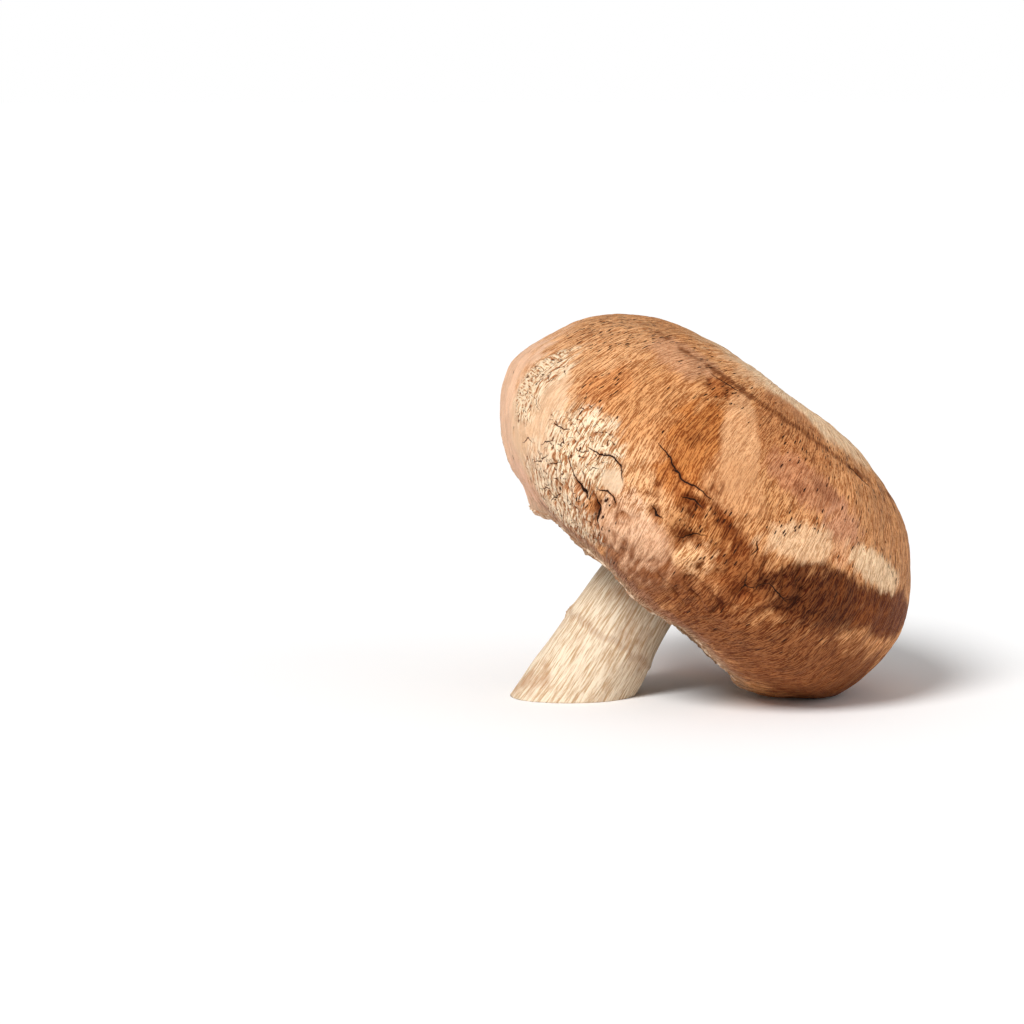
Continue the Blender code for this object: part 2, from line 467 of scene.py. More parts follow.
# half width, depth, then the places that the crack runs through
CRACKS = {
    "long crack": (0.24, 0.6, [(-22, 76), (-18, 77), (-16, 78.5), (-12, 80), (-9, 79), (-5, 79.5)]),
    "thick crack": (0.36, 0.8, [(-38, 98.5), (-35, 100), (-32, 101)]),
    "hooked crack": (0.22, 0.5, [(-29, 96.5), (-27, 95.5), (-25, 96), (-24, 97.5)]),
    "deep crevice": (0.34, 0.8, [(-30, 99), (-28, 102), (-27.5, 105), (-26, 108.5)]),
    "spot's edge": (0.22, 0.4, [(-36, 88.5), (-33, 88), (-30, 86.5), (-27, 87), (-25, 90)]),
    "curled line": (0.18, 0.5, [(-6, 93), (-4.5, 92.5), (-3, 89.5), (-1, 88)]),
    "hollow's lid": (0.26, 0.5, [(-10, 83.4), (-8, 82.6), (-5.5, 82.6)]),
    "hook": (0.26, 0.5, [(-15, 91), (-13.5, 92.5), (-12, 91.5)]),
    "small curve": (0.18, 0.4, [(10, 81), (11.5, 82.5), (11, 84.5)]),
    "foot crack": (0.2, 0.45, [(19, 87.5), (22, 88), (26, 88.5)]),
    "foot branch": (0.16, 0.4, [(13, 89), (15, 92), (15, 95)]),
    "foot branch 2": (0.16, 0.4, [(15, 92), (17, 90.5), (19, 87.5)]),
    "cream 1": (0.13, 0.3, [(-49, 89.5), (-46, 89), (-44, 88)]),
    "cream 2": (0.13, 0.3, [(-51, 97.5), (-50, 96), (-48, 94.5)]),
    "cream 3": (0.13, 0.3, [(-54, 104), (-50, 101.5), (-48, 99)]),
    "cream 4": (0.13, 0.3, [(-47, 101), (-43, 98)]),
    "cream 5": (0.13, 0.3, [(-52, 111), (-47, 108.5)]),
    "cream 6": (0.13, 0.3, [(-47, 112), (-44, 109), (-42, 107)]),
    "cream 7": (0.12, 0.3, [(-41, 94), (-40, 96.5), (-38, 98)]),
    "cream 8": (0.12, 0.3, [(-60, 101), (-58, 99), (-56, 99)]),
    "ridge slit": (0.22, 0.4, [(-27, 47.5), (-22, 47), (-18, 47.2)]),
    "far ridge slit": (0.26, 0.4, [(33, 43.5), (38, 44.5), (43, 46)]),
    "back crack": (0.2, 0.5, [(126, 80), (130, 83), (135, 84), (139, 88)]),
    "back crack 2": (0.2, 0.5, [(-130, 96), (-125, 94), (-121, 96), (-117, 95)]),
    "back crack 3": (0.18, 0.45, [(165, 92), (170, 95), (173, 94)]),
}

# bearing, mm down, mm across, mm along, depth in mm (less than 0 is a lump)
DENTS = [
    (-8.5, 83, 3.2, 1.3, 1.5),
    (-5.5, 82, 1.8, 1.2, 1),
    (-6.8, 85.8, 1.4, 1.1, 1.2),
    (-14, 91.6, 1.5, 1.3, 1.2),
    (-2.5, 90.8, 3.4, 1.4, 1.5),
    (2.5, 95, 1.2, 2, 1.1),
    (-4.5, 94.5, 1.3, 2.6, 1),
    (-8, 88, 3.4, 2, -1.1),
    (-3, 87, 2.6, 1.4, -0.8),
    (0, 94.5, 2.2, 2.8, -1.2),
    (-12, 86.5, 3, 3, -0.8),
    (-3, 80.2, 3, 1.5, 0.7),
    (3, 82.4, 3, 1.6, 0.9),
    (8, 85.2, 2.6, 1.8, 0.7),
    (9, 88, 3, 3, -0.7),
    (-17, 69, 3, 2.2, 0.5),
    (-27.5, 102, 0.9, 2.2, 0.9),
    (-24, 97.5, 0.9, 1.3, 0.9),
    (-33, 100, 1.5, 0.8, 0.8),
    (-35, 104, 3.2, 2.6, -0.9),
    (-31, 106.5, 1.6, 2.6, -0.8),
    (-24, 104.5, 1.8, 2.6, -0.9),
    (-28.5, 97.5, 2.6, 1.8, -0.8),
    (15, 93, 3, 3, 1.1),
    (21, 91, 3, 3, -0.9),
    (28, 88, 2.6, 3, 0.8),
    (-84, 119, 16, 6, 1),
    (130, 88, 4, 3, 0.8),
    (-140, 84, 4, 5, 0.7),
]

# bearing, mm down, mm across, mm along, how thick the small dark torn fibres lie there; each is a dark tip
# with painted shadow under it
TICKED = [
    (-64, 53, 13, 15, 1),
    (-45, 44, 14, 8, 0.45),
    (-43.5, 72, 5, 7, 0.6),
    (-28, 103, 6, 6, 0.9),
    (0, 86, 9, 7, 0.5),
    (12, 75.5, 3, 2.2, 1),
    (17, 71.5, 3, 2, 1),
    (24, 68.6, 5, 1.8, 1),
    (38, 64, 5, 2, 0.9),
    (50, 62, 5, 2, 1),
    (58, 64.5, 5, 3, 1),
    (50, 47, 6, 5, 0.9),
    (24, 43, 10, 5, 0.8),
    (8, 53, 6, 5, 0.5),
    (30, 55, 16, 12, 0.35),
    (-20, 53, 6, 6, 0.6),
    (150, 70, 30, 20, 0.4),
    (-150, 60, 30, 14, 0.4),
    (100, 62, 14, 8, 0.6),
]
TICKED_ELSEWHERE = 0.025

# bearing, mm down, mm across, mm along: where the skin has shrunk into lumps and creases
CREASED = [
    (-8, 90, 16, 14),
    (-32, 103, 18, 12),
    (4, 98, 16, 12),
    (22, 88, 14, 8),
    (-22, 51, 5, 4),
    (-140, 90, 24, 14),
    (130, 86, 20, 14),
]
CREASED_ELSEWHERE = 0.15

CRACK_SPACING = 0.35 * MM  # between the points of a crack
FAR = 9.0  # mm from any crack, or half widths


# ---- the cap's skin: its shape


def column_bearings():
    """Bearings of the columns, in degrees from the back round to the back, closer together in front."""
    fine = np.linspace(-180, 180, 3601)
    in_front = blend(-12, 12, FRONT_HALF_WIDTH - np.abs(fine))
    density = BACK_DENSITY + (1 - BACK_DENSITY) * in_front
    total = np.concatenate([[0.0], np.cumsum((density[1:] + density[:-1]) / 2)])
    return np.interp(np.arange(COLUMNS) / COLUMNS, total / total[-1], fine)


def joined_rows(starts, counts):
    """Faces of a cap: a fan round its first point, then rows of the same or twice as many points."""
    faces = [(0, starts[0] + k, starts[0] + (k + 1) % counts[0]) for k in range(counts[0])]
    for a, b, count, next_count in zip(starts, starts[1:], counts, counts[1:]):
        for k in range(count):
            beside = (k + 1) % count
            if next_count == count:
                faces.append((a + k, b + k, b + beside, a + beside))
            else:
                faces.append((a + k, b + 2 * k, b + 2 * k + 1))
                faces.append((a + k, b + 2 * k + 1, a + beside))
                faces.append((a + beside, b + 2 * k + 1, b + 2 * beside))
    return faces


def cap_grid():
    """Bearing, distance down and bake position of each point, and the faces that join them."""
    bearings = column_bearings()
    rows = np.linspace(0, CAP.length, int(CAP.length / ROW_STEP))[1:]
    bearing, down, column = [0.0], [0.0], [0.0]
    starts, counts = [], []
    for s in rows:
        halvings = sum(CAP.radius(s) < limit and s < CROWN_REACH for limit in NARROWER)
        chosen = np.arange(0, COLUMNS, 2**halvings)
        starts.append(len(bearing))
        counts.append(len(chosen))
        bearing.extend(bearings[chosen])
        down.extend([s] * len(chosen))
        column.extend(chosen / COLUMNS)
    return np.array(bearing), np.array(down), np.array(column), joined_rows(starts, counts)


class Skin:
    """The skin's points and the fields that shape and colour it."""

    def __init__(self):
        self.bearing, self.down, self.column, self.faces = cap_grid()
        self.angle = np.radians(self.bearing - 90)
        self.s = self.down / MM
        self.radius = CAP.radius(self.down) / MM
        self.plain = CAP.points(self.angle, self.down)
        self.spot = self.plain / MM
        self.fibre = round_axis(FIBRE_RADIUS, self.angle, self.s)
        wander = 2.2 * noise(self.spot / 30, 40) + 0.35 * noise(self.spot / 8, 41)
        self.fibre[:, 0] += wander * -np.sin(self.angle)
        self.fibre[:, 1] += wander * np.cos(self.angle)
        self.ragged = rough_noise(self.brushed(1.8, 6), 20) + 0.5 * noise(self.spot / 5, 25)

    def brushed(self, width, length):
        """Places for a noise that changes over width mm across the fibres and length mm along them."""
        return self.fibre / (width, width, length)

    def from_place(self, bearing, down):
        """Millimetres across and along the fibres from a place."""
        turn = (self.bearing - bearing + 180) % 360 - 180
        return np.radians(turn) * self.radius, self.s - down

    def oval(self, bearing, down, across, along, slant=0.0, ragged=0.0):
        """1 inside a ragged oval, 0 outside it, and 0.5 on its edge. One at the crown runs right round it."""
        x, y = self.from_place(bearing, down)
        if down == 0:
            x = np.zeros_like(y)
        c, s = math.cos(math.radians(slant)), math.sin(math.radians(slant))
        reach = np.hypot((c * x + s * y) / across, (c * y - s * x) / along)
        reach += ragged * RAGGED_REACH * self.ragged
        soft = SOFT_EDGE + RAGGED_SOFTENING * ragged
        return 1 - blend(1 - soft, 1 + soft, reach)

    def patch(self, name):
        """How far each point is inside a patch, 0 to 1."""
        bearing, down, across, along, slant, _, ragged, _ = PATCHES[name]
        return self.oval(bearing, down, across, along, slant, ragged)

    def colour(self):
        """The skin's colour at each point, before its fibres: patches painted over each other."""
        tint = np.tile(srgb(*BASE_COLOUR), (len(self.s), 1))
        for name, (*_, colour, _, strength) in PATCHES.items():
            tint += (srgb(*colour) - tint) * (strength * self.patch(name))[:, None]
        blotches = noise(self.spot / 8, 30) + 0.9 * noise(self.brushed(2.2, 6), 31)
        mottle = np.exp(0.10 * blotches + 0.08 * rough_noise(self.spot / 2.6, 32, 2))
        inroll = blend(118, 124, self.s)
        tint += (srgb(*LIP_COLOUR) - tint) * (0.55 * inroll)[:, None]
        return PAINT_STRENGTH * tint * mottle[:, None]

    def streaky(self):
        """How strongly the fibres' two tones show."""
        share = np.ones(len(self.s))
        for name, shown in SMOOTH.items():
            share *= 1 - (1 - shown) * self.patch(name)
        return share

    def flaked(self):
        """How far the top layer has torn into cream flakes."""
        share = np.zeros(len(self.s))
        for name in FLAKED:
            share = np.maximum(share, self.patch(name))
        return share * (1 - self.patch("smooth spot"))

    def ticked(self):
        """The share of the skin's small cells that hold a dark torn fibre with painted shadow under it."""
        share = np.full(len(self.s), TICKED_ELSEWHERE)
        for *place, thick in TICKED:
            share = np.maximum(share, thick * self.oval(*place, ragged=0.6))
        return share * blend(22, 34, self.s)

    def creased(self):
        """How far the skin has shrunk into lumps and creases."""
        share = np.full(len(self.s), CREASED_ELSEWHERE)
        for place in CREASED:
            share = np.maximum(share, self.oval(*place, ragged=0.5))
        return share

    def fissure(self):
        """A field that passes through 0 along the fine cracks between flakes, mostly across the fibres."""
        bent = self.fibre + noise(self.spot / 2.4, 50)[:, None] * (0.3, 0.3, 1.0)
        return noise(bent / (3.0, 3.0, 2.1), 51) + 0.4 * noise(self.spot / 1.6, 52)

    def cracked(self):
        """Signed distance to the nearest named crack in half widths, how near one is, and its depth."""
        signed = np.full(len(self.s), FAR)
        nearest = np.full(len(self.s), FAR * MM)
        depth = np.zeros(len(self.s))
        for number, (half_width, deep, places) in enumerate(CRACKS.values()):
            line = crack_line(places, number)
            reach = np.linalg.norm(self.plain - line.mean(0), axis=1)
            size = np.linalg.norm(line - line.mean(0), axis=1).max() + 4 * MM
            close = np.flatnonzero(reach < size)
            distance, side, share = to_line(self.plain[close], line)
            taper = 0.45 + 0.55 * np.sin(np.pi * np.clip(share, 0.06, 0.94))
            better = distance < nearest[close]
            chosen = close[better]
            nearest[chosen] = distance[better]
            widths = side[better] * distance[better] / (half_width * MM * taper[better])
            signed[chosen] = np.clip(widths, -FAR, FAR)
            depth[chosen] = deep * taper[better]
        return signed, nearest / MM, depth

    def waves(self):
        """Lift in mm: broad waves, fine fibres, and wrinkles round the margin."""
        lift = 0.26 * noise(self.brushed(5, 9), 61)
        lift += 0.05 * noise(self.brushed(2.2, 6), 62)
        lift += 0.045 * noise(self.brushed(1.1, 6), 63) * blend(24, 36, self.radius)
        return lift + 0.22 * noise(self.brushed(9, 1.6), 65) * blend(110, 119, self.s)

    def creases(self):
        """Lift in mm of the lumps, with the folds between them."""
        lumps = rough_noise(self.brushed(4.2, 6), 66)
        folds = 1 - 2 * np.abs(noise(self.spot / 6, 67))
        return self.creased() * (0.65 * lumps - 0.60 * blend(0.60, 1.0, folds))

    def dents(self):
        """Lift in mm of the single dents and lumps."""
        lift = np.zeros(len(self.s))
        for bearing, down, across, along, depth in DENTS:
            x, y = self.from_place(bearing, down)
            lift -= depth * np.exp(-((x / across) ** 2) - (y / along) ** 2)
        return lift

    def flakes(self, flaked, fissure):
        """Lift in mm of the flakes, which stand between the fissures."""
        standing = 0.34 * blend(0.0, 0.30, np.abs(fissure)) - 0.18
        return flaked * (standing + 0.26 * noise(self.brushed(1.6, 5), 64))

    def build(self):
        """The skin's mesh, with the fields its material reads."""
        flaked = self.flaked()
        fissure = self.fissure()
        crack, crack_distance, crack_depth = self.cracked()
        groove = np.exp(-((crack_distance / 0.60) ** 2))
        lips = np.exp(-(((crack_distance - 1.3) / 0.8) ** 2))
        broad = 0.50 * noise(self.spot / 14, 60)
        detail = self.waves() + self.creases() + self.dents() + self.flakes(flaked, fissure)
        detail += crack_depth * (0.22 * lips - groove)
        lift = (broad + detail) * MM
        points = settled(self.plain + CAP.normals(self.angle, self.down) * lift[:, None])
        mesh = mesh_of("cap_skin", points, self.faces, skin_material())
        add_field(mesh, "fibre", self.fibre, "FLOAT_VECTOR")
        opaque = np.ones(len(self.s))
        add_field(mesh, "tint", np.column_stack([self.colour(), opaque]), "FLOAT_COLOR")
        fields = {
            "down": self.s,
            "flaked": flaked,
            "streaky": self.streaky(),
            "ticked": self.ticked(),
            "fissure": fissure,
            "puckered": self.oval(-66, 80, 5, 13, ragged=0.8),
            "combed": self.oval(-45, 62, 44, 40, ragged=0.8),
            "crack": crack,
            "crack_near": 1 - blend(0.7, 1.15, crack_distance),
            "hollow": blend(0.20, 0.90, -detail) * (1 - blend(106, 112, self.s)),
        }
        for name, values in fields.items():
            add_field(mesh, name, values)
        self.unwrap(mesh)
        return mesh

    def unwrap(self, mesh):
        """Columns run across the bake and rows down it, with the seam at the back."""
        layer = mesh.uv_layers.new(name="OFBake")
        corners = whole_numbers(mesh.loops, "vertex_index")
        u = self.column[corners]
        v = 1 - self.down[corners] / CAP.length
        starts = whole_numbers(mesh.polygons, "loop_start")
        sizes = whole_numbers(mesh.polygons, "loop_total")
        furthest = np.repeat(np.maximum.reduceat(u, starts), sizes)
        over_the_seam = (furthest > 0.6) & (u < 0.1)
        u = np.where(over_the_seam, u + 1, u)
        at_the_crown = corners == 0
        u = np.where(at_the_crown, furthest, u)
        layer.data.foreach_set("uv", np.column_stack([u, v]).astype(np.float32).ravel())


def crack_line(places, number):
    """Points along a crack, close together, with the small wanderings of a tear."""
    bearing, down = np.array(places, float).T
    corner = CAP.points(np.radians(bearing - 90), down * MM)
    runs = np.linalg.norm(np.diff(corner, axis=0), axis=1)
    total = np.concatenate([[0.0], np.cumsum(runs)])
    t = np.linspace(0, total[-1], max(3, int(total[-1] / CRACK_SPACING)))
    steps = np.column_stack([t / MM / 1.6, 0 * t, 0 * t])
    sway = 0.60 * np.column_stack([noise(steps + 7.3 * number, 70), noise(steps - 3.1 * number, 71)])
    sway += 0.42 * np.column_stack([noise(2.6 * steps + number, 72), noise(2.6 * steps - number, 73)])
    sway *= np.sin(np.pi * t / total[-1])[:, None]
    down = np.interp(t, total, down)
    turn = np.degrees(sway[:, 0] * MM / CAP.radius(down * MM))
    bearing = np.interp(t, total, bearing) + turn
    return CAP.points(np.radians(bearing - 90), (down + sway[:, 1]) * MM)


def to_line(points, line):
    """Each point's distance to a line, its side of it, and the share of the line where it comes nearest."""
    best = np.full(len(points), np.inf)
    side = np.ones(len(points))
    share = np.zeros(len(points))
    outward = line.mean(0) - OFFSET
    for k in range(len(line) - 1):
        a, run = line[k], line[k + 1] - line[k]
        t = np.clip((points - a) @ run / (run @ run), 0, 1)
        away = points - a - t[:, None] * run
        distance = np.linalg.norm(away, axis=1)
        nearer = distance < best
        best = np.where(nearer, distance, best)
        side = np.where(nearer, np.sign(away @ np.cross(run, outward)), side)
        share = np.where(nearer, (k + t) / (len(line) - 1), share)
    return best, side, share


# ---- the cap's skin: its material

# what the tint is multiplied by
DARK_FIBRE = (0.58, 0.42, 0.28)
LIGHT_FIBRE = (1.31, 1.40, 1.43)
# the hairs' tones: the dark hairs are partly painted shadow, the light hairs partly painted highlight
DARK_HAIR_AND_SHADOW = (0.30, 0.16, 0.08)
LIGHT_HAIR_AND_HIGHLIGHT = (1.55, 1.75, 1.95)
HOLLOW_SHADE = (0.46, 0.30, 0.18)
# colours as seen on a screen
FIBRE_WARMTH = (226, 156, 100)
# painted shade in the flakes' grooves, a painted highlight on their crests, and painted shade in the fissures
# between them
FLAKE_GROOVE_SHADE = (164, 98, 54)
FLAKE_CREST_HIGHLIGHT = (252, 228, 196)
FISSURE_SHADE = (92, 50, 26)
CRACK_HALO = (132, 72, 34)
# the cracks' near-black cores are painted shade
CRACK_CORE_SHADE = (34, 17, 10)
# dark tips of the torn fibres, with painted shadow under them
TORN_FIBRE_AND_SHADOW = (58, 28, 14)
SKIN_BUMP = 0.50 * MM


def fibre_streaks(g, fibre):
    """Noise along the fibres: long where they are combed, short elsewhere, and wider near the crown."""
    long = g.noise(g.stretch(fibre, (2.7, 2.7, 0.24)), roughness=0.6)
    short = g.noise(g.stretch(fibre, (2.7, 2.7, 0.38)), roughness=0.6)
    outer = g.blend(g.attribute("combed"), short, long)
    inner = g.noise(g.stretch(fibre, (1.5, 1.5, 0.30)), roughness=0.6)
    coarse = g.blend(g.ramp(g.attribute("down"), 30, 46), inner, outer)
    fine = g.noise(g.stretch(fibre, (3.8, 3.8, 1.2)), detail=1, roughness=0.6)
    return g.blend(0.32, coarse, fine)


def fibre_colour(g, fibre, streak):
    """The painted tint in two tones with dark and light hairs on it, and where the dark hairs are. The dark
    hairs are partly painted shadow and the light ones partly painted highlight.
    """
    tint = g.attribute("tint", "Color")
    streaky = g.attribute("streaky")
    light = g.mix(0.10, g.tinted(tint, LIGHT_FIBRE), srgb(*FIBRE_WARMTH))
    streaked = g.mix(g.ramp(streak, 0.43, 0.56), g.tinted(tint, DARK_FIBRE), light)
    colour = g.mix(streaky, tint, streaked)
    hairs = g.noise(g.stretch(fibre, (3.0, 3.0, 0.20)), detail=1)
    dark_hair_and_shadow = g.times(g.ramp(hairs, 0.60, 0.70), streaky, 0.65)
    colour = g.mix(dark_hair_and_shadow, colour, g.tinted(tint, DARK_HAIR_AND_SHADOW))
    light_hair_and_highlight = g.times(g.ramp(hairs, 0.30, 0.40, 1, 0), streaky, 0.60)
    return g.mix(light_hair_and_highlight, colour, g.tinted(tint, LIGHT_HAIR_AND_HIGHLIGHT)), dark_hair_and_shadow


def flake_colour(g, fibre, flaked, colour):
    """Cream flakes on the colour, the ridges that they make and the fissures between them, with painted shade
    in the grooves and fissures and a painted highlight on the crests.
    """
    ridges = g.noise(g.stretch(fibre, (1.9, 1.9, 0.34)))
    wrinkles = g.noise(g.stretch(fibre, (0.60, 0.60, 1.7)))
    ridge = g.blend(g.attribute("puckered"), ridges, wrinkles)
    # painted shade in the grooves between the ridges, and a painted highlight on the crests
    groove = g.times(g.ramp(ridge, 0.38, 0.50, 0.90, 0.0), flaked)
    colour = g.mix(groove, colour, srgb(*FLAKE_GROOVE_SHADE))
    crest = g.times(g.ramp(ridge, 0.50, 0.60, 0.0, 0.75), flaked)
    colour = g.mix(crest, colour, srgb(*FLAKE_CREST_HIGHLIGHT))
    off_line = g.math("ABSOLUTE", g.attribute("fissure"))
    broken = g.ramp(g.noise(g.stretch(fibre, (0.9, 0.9, 0.5)), detail=1), 0.46, 0.56)
    # painted shade along the fissures
    fissure = g.times(g.ramp(off_line, 0.02, 0.075, 1, 0), broken, flaked)
    return g.mix(fissure, colour, srgb(*FISSURE_SHADE)), ridge, fissure


def crack_colour(g, colour):
    """Painted shade in the hollows, and the named cracks with a brown halo round each and a near-black core
    of painted shade.
    """
    hollow = g.times(g.attribute("hollow"), 0.85)
    colour = g.mix(hollow, colour, g.tinted(colour, HOLLOW_SHADE))
    crack = g.math("ABSOLUTE", g.attribute("crack"))
    near = g.attribute("crack_near")
    halo = g.times(g.ramp(crack, 0.9, 2.8, 1, 0), near, 0.50)
    colour = g.mix(halo, colour, srgb(*CRACK_HALO))
    # painted shade in the cracks' cores
    core = g.times(g.ramp(crack, 0.6, 1.2, 1, 0), near)
    return g.mix(core, colour, srgb(*CRACK_CORE_SHADE))


def torn_fibres_and_shadows(g, fibre):
    """1 on the small dark torn fibres, each a dark tip with painted shadow under it: one in each cell whose
    lot is under the share that is ticked.
    """
    jitter = g.noise(g.stretch(fibre, (1.1, 1.1, 0.9)), detail=1, output=1)
    bent = g.add("VectorMath", {0: g.stretch(fibre, (1.3, 1.3, 0.36)), 1: g.stretch(jitter, (0.45,) * 3)})
    cells = g.node("TexVoronoi", {"Vector": bent, "Scale": 1.0}).outputs
    lot = g.add("SeparateColor", {0: cells["Color"]})
    drawn = g.math("LESS_THAN", lot, g.attribute("ticked"))
    return g.times(g.ramp(cells["Distance"], 0.17, 0.32, 1, 0), drawn)


def skin_material():
    """Radial fibres in two tones over the painted tint, with cream flakes, dark cracks and torn fibres;
    painted shade in the hollows, cracks and fissures and under the torn fibres, and painted highlights on the
    flakes' crests and the light hairs.
    """
    g = Graph("cap_skin")
    fibre = g.attribute("fibre", "Vector")
    flaked = g.attribute("flaked")
    streak = fibre_streaks(g, fibre)
    colour, dark_hair_and_shadow = fibre_colour(g, fibre, streak)
    colour, ridge, fissure = flake_colour(g, fibre, flaked, colour)
    colour = crack_colour(g, colour)
    # the torn fibres: dark tips with painted shadow under them
    torn = torn_fibres_and_shadows(g, fibre)
    colour = g.mix(torn, colour, srgb(*TORN_FIBRE_AND_SHADOW))
    height = g.math("ADD", streak, g.times(ridge, flaked, 1.3))
    for lower, amount in ((fissure, 0.7), (torn, 1.0), (dark_hair_and_shadow, 0.3)):
        height = g.math("SUBTRACT", height, g.times(lower, amount))
    return g.finish(
        Base_Color=colour,
        Roughness=g.ramp(streak, 0.3, 0.7, 0.66, 0.50),
        Normal=g.bump(height, SKIN_BUMP),
        Subsurface_Weight=0.04,
        Subsurface_Radius=(1.0, 0.45, 0.25),
        Subsurface_Scale=0.002,
        IOR=1.40,
        Specular_IOR_Level=0.12,
    )


# ---- gills

GILL_COUNT = 256
GILL_BEGINS = [0.0148, 0.0262, 0.0205, 0.0262]  # radii of a full, a quarter, a half and a quarter gill
GILL_OUTER = 0.0330
GILL_STEPS = 14
GILL_DEPTHS = np.array([0.0, 0.45, 0.85, 1.0, 0.85, 0.45, 0.0])  # down one face and up the other
GILL_HALF = np.array([-0.17, -0.15, -0.09, 0.0, 0.09, 0.15, 0.17]) * MM  # thinner towards the edge
GILL_EDGE = [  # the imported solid's gill side, which the gills' edges lie on
    (0.0134, -0.0152),
    (0.0158, -0.0150),
    (0.01875, -0.0180),
    (0.0255, -0.0200),
    (0.0305, -0.0225),
    (0.0331, -0.0252),
]
CEILING = [  # the flesh that the gills hang from, inwards from the margin
    (0.0331, -0.0252),
    (0.0338, -0.0205),
    (0.0318, -0.0150),
    (0.0250, -0.0118),
    (0.0180, -0.0098),
    (0.0140, -0.0092),
    (0.0118, -0.0110),
]
CEILING_COLUMNS = 192


def height_on(line, radius):
    radii, heights = zip(*sorted(line))
    return np.interp(radius, radii, heights)


def gill(number):
    """Points of one thin plate, a row of its section at each step outwards, and how near its edge each is."""
    radius = np.linspace(GILL_BEGINS[number % 4], GILL_OUTER, GILL_STEPS)
    top = height_on(CEILING[1:], radius) + 0.4 * MM
    begun = blend(0.0, 3.0 * MM, radius - radius[0] + 0.4 * MM)
    drop = (height_on(GILL_EDGE, radius) - top) * begun
    ripple = np.column_stack([radius / MM / 2.2, radius * 0 + number * 3.7, radius * 0])
    drop += 0.18 * MM * noise(ripple, 80)
    sway = 0.35 * MM * noise(ripple + 50, 81)
    width = len(GILL_DEPTHS)
    share = np.tile(GILL_DEPTHS, GILL_STEPS)
    r = np.repeat(radius, width)
    z = np.repeat(top, width) + np.repeat(drop, width) * share
    lean = share * 0.3 * MM * math.sin(number * 2.4)
    across = np.tile(GILL_HALF, GILL_STEPS) + np.repeat(sway, width) + lean
    angle = 2 * math.pi * number / GILL_COUNT + across / r
    return round_axis(r, angle, z), share


def gill_faces(first):
    """Faces of the plate whose points start at first, with both ends closed."""
    width = len(GILL_DEPTHS)
    faces = []
    for i in range(GILL_STEPS - 1):
        for k in range(width - 1):
            a = first + width * i + k
            faces.append((a, a + 1, a + 1 + width, a + width))
    last = first + width * (GILL_STEPS - 1)
    faces.append(tuple(range(first + width - 1, first - 1, -1)))
    faces.append(tuple(range(last, last + width)))
    return faces


def gills():
    """Full gills with half and quarter ones between them, and the flesh that they hang from."""
    points, shares, faces = [], [], []
    for number in range(GILL_COUNT):
        own, share = gill(number)
        faces += gill_faces(number * len(own))
        points.append(own)
        shares.append(share)
    ceiling = curve_through(CEILING, 4, mirrored=False)
    faces += ring_faces(len(ceiling), CEILING_COLUMNS, first=GILL_COUNT * len(own))
    angle = full_turn(CEILING_COLUMNS)
    for radius, height in ceiling:
        points.append(round_axis(radius, angle, height))
        shares.append(0 * angle)
    mesh = mesh_of("gills", from_axis(np.vstack(points)), faces, gill_material())
    add_field(mesh, "edge", np.concatenate(shares))
    return mesh


def gill_material():
    """Dark brown in clouds, a little paler on the gills' edges."""
    g = Graph("gills")
    place = g.add("TexCoord", {}, "Object")
    cloud = g.noise(place, 220, 3, 0.6)
    fine = g.noise(place, 1500, 2, 0.6)
    colour = g.mix(cloud, srgb(66, 38, 30), srgb(112, 72, 58))
    colour = g.mix(g.ramp(g.attribute("edge"), 0.55, 1.0, 0.0, 0.55), colour, srgb(150, 108, 88))
    colour = g.mix(g.times(fine, 0.3), colour, srgb(52, 28, 22))
    return g.finish(
        Base_Color=colour,
        Roughness=0.82,
        Normal=g.bump(fine, 0.08 * MM),
        Specular_IOR_Level=0.3,
    )


# ---- stem

STEM_OUTLINE = [  # (radius, height) from inside the flesh to below the surface
    (STEM_RADIUS + 0.0022, -0.0088),
    (STEM_RADIUS + 0.0006, -0.0128),
    (STEM_RADIUS, -GILL_HEIGHT),
    (STEM_RADIUS - 0.0002, -MARGIN),
    (STEM_RADIUS + 0.0012, -0.65 * STEM_LENGTH),
    (STEM_RADIUS + 0.0022, -STEM_LENGTH),
]
STEM_COLUMNS = 132
STEM_ROW = 0.8 * MM
RING_AT = 0.0375  # distance down the stem's outline of the veil's torn ring
RING_WANDERS = 2.6 * MM
RING_STANDS = 0.7  # mm


def stem():
    """The stem, with its fibres and the veil's torn ring, cut flat where it lies on the surface."""
    shape = Turned(STEM_OUTLINE, mirrored=False)
    rows = np.arange(0, shape.length, STEM_ROW)
    s, a = (grid.ravel() for grid in np.meshgrid(rows, full_turn(STEM_COLUMNS), indexing="ij"))
    plain = shape.points(a, s)
    around = round_axis(12, a, s / MM)
    lift = 0.45 * noise(plain / MM / 12, 90)
    lift += 0.14 * noise(around / (1.6, 1.6, 12), 91) + 0.05 * noise(around / (0.8, 0.8, 7), 92)
    torn = RING_AT + RING_WANDERS * rough_noise(around * (1 / 5, 1 / 5, 0), 93)
    fall = (s - torn) / MM
    stands = RING_STANDS * (0.6 + 0.9 * noise(around * (1 / 3.5, 1 / 3.5, 0), 97))
    lift += stands * np.where(fall < 0, np.exp(fall / 1.6), np.exp(-((fall / 0.5) ** 2)))
    points = plain + shape.normals(a, s) * (lift * MM)[:, None]
    mesh = mesh_of("stem", points, ring_faces(len(rows), STEM_COLUMNS), stem_material())
    add_field(mesh, "around", around, "FLOAT_VECTOR")
    add_field(mesh, "below", fall)
    cut_flat(mesh)
    return mesh


